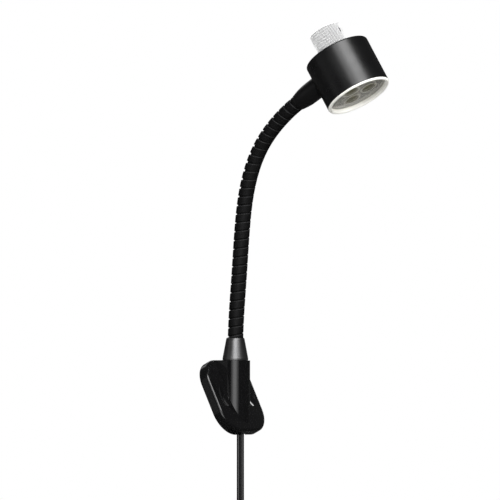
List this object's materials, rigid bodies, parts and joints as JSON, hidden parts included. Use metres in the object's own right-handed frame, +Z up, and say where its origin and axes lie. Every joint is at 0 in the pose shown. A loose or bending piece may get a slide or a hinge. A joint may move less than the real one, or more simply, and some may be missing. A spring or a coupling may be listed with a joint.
{
  "type": "clip on reading lamp",
  "caption": "Reading lamp with a spring clip, a ribbed gooseneck, a drum head with an LED lens, a knurled dimmer knob on its back and a flat lead with a plug.",
  "frame": {"origin": "middle of the clip's mouth, where the edge of a board is held", "axes": "+Z up and away from the board, +X forwards, the way the head reaches over the page; the jaws face each other along X"},
  "size_m": [0.1788, 0.059, 0.6276],
  "materials": {
    "bare_aluminium": "bare machined",
    "bezel_pale": "pale moulding",
    "board_green": "green solder mask",
    "board_parts": "moulded electronics",
    "board_white": "white solder mask",
    "brass": "turned brass",
    "clip_plastic": "polished black moulding",
    "ferrule_metal": "satin dark lacquer",
    "head_black": "satin black anodised",
    "knob_silver": "fine knurled, clear anodised",
    "lead_pvc": "black flexible sheath",
    "led_yellow": "phosphor",
    "lens_clear": "clear window",
    "lens_cup": "clear moulded optic",
    "mark_dark": "filled line",
    "neck_black": "black wrapped metal hose",
    "pad_rubber": "soft black rubber",
    "pin_steel": "turned steel",
    "plug_plastic": "black moulded plug",
    "seal_pale": "pale silicone",
    "spring_steel": "drawn spring wire",
    "tie_plastic": "soft tie"
  },
  "bodies": {
    "clip": {"clip_front_jaw": "clip_plastic", "front_jaw_pad": "pad_rubber", "hinge_pin": "pin_steel", "hinge_pin_clips": "pin_steel", "clip_spring": "spring_steel", "neck_bush": "brass", "neck_spigot": "pin_steel", "grub_screw": "pin_steel", "inner_lead": "lead_pvc", "lead_grommet": "pad_rubber", "neck_ferrule": "ferrule_metal", "neck_length_1": "neck_black", "lead": "lead_pvc", "lead_hank": "lead_pvc", "lead_tie": "tie_plastic", "lead_tail": "lead_pvc", "plug_relief": "plug_plastic", "plug_body": "plug_plastic", "plug_pins": "brass"},
    "rear_jaw": {"clip_rear_jaw": "clip_plastic", "rear_jaw_pad": "pad_rubber"},
    "neck_2": {"neck_length_2": "neck_black"},
    "neck_3": {"neck_length_3": "neck_black"},
    "neck_4": {"neck_length_4": "neck_black"},
    "neck_5": {"neck_length_5": "neck_black"},
    "neck_6": {"neck_length_6": "neck_black"},
    "head": {"neck_length_7": "neck_black", "head_collar": "head_black", "collar_nut": "pin_steel", "head_housing": "head_black", "bezel_ring": "bezel_pale", "lens_seal": "seal_pale", "lens_window": "lens_clear", "lens_cups": "lens_cup", "led_chips": "led_yellow", "led_board": "board_white", "heat_sink": "bare_aluminium", "driver_standoffs": "brass", "driver_board": "board_green", "driver_parts": "board_parts", "potentiometer": "board_parts", "potentiometer_nut": "pin_steel"},
    "knob": {"knob_shaft": "pin_steel", "dimmer_knob": "knob_silver", "knob_mark": "mark_dark"}
  },
  "joints": [
    {"name": "neck_bend_1", "type": "hinge", "parent": "clip", "child": "neck_2", "pos_m": [0.00603, 0, 0.08404], "axis": [0, 1, 0], "range_deg": [-22, 22]},
    {"name": "neck_bend_2", "type": "hinge", "parent": "neck_2", "child": "neck_3", "pos_m": [0.00884, 0, 0.11846], "axis": [0.9963, 0, -0.0857], "range_deg": [-22, 22]},
    {"name": "neck_bend_3", "type": "hinge", "parent": "neck_3", "child": "neck_4", "pos_m": [0.01162, 0, 0.15288], "axis": [0, 1, 0], "range_deg": [-22, 22]},
    {"name": "neck_bend_4", "type": "hinge", "parent": "neck_4", "child": "neck_5", "pos_m": [0.01683, 0, 0.18698], "axis": [0.9719, 0, -0.2355], "range_deg": [-22, 22]},
    {"name": "neck_bend_5", "type": "hinge", "parent": "neck_5", "child": "neck_6", "pos_m": [0.0298, 0, 0.21881], "axis": [0, 1, 0], "range_deg": [-22, 22]},
    {"name": "neck_bend_6", "type": "hinge", "parent": "neck_6", "child": "head", "pos_m": [0.05279, 0, 0.2444], "axis": [0.6439, 0, -0.7651], "range_deg": [-22, 22]},
    {"name": "rear_jaw_swing", "type": "hinge", "parent": "clip", "child": "rear_jaw", "pos_m": [-0.007, 0, 0.016], "axis": [0, 1, 0], "range_deg": [-14, 22], "stiffness_Nm_per_rad": 0.05, "deforming": ["clip_spring"]},
    {"name": "dimmer_turn", "type": "hinge", "parent": "head", "child": "knob", "pos_m": [0.09789, 0, 0.30228], "axis": [0.5402, 0, -0.8415], "range_deg": [0, 270]}
  ]
}
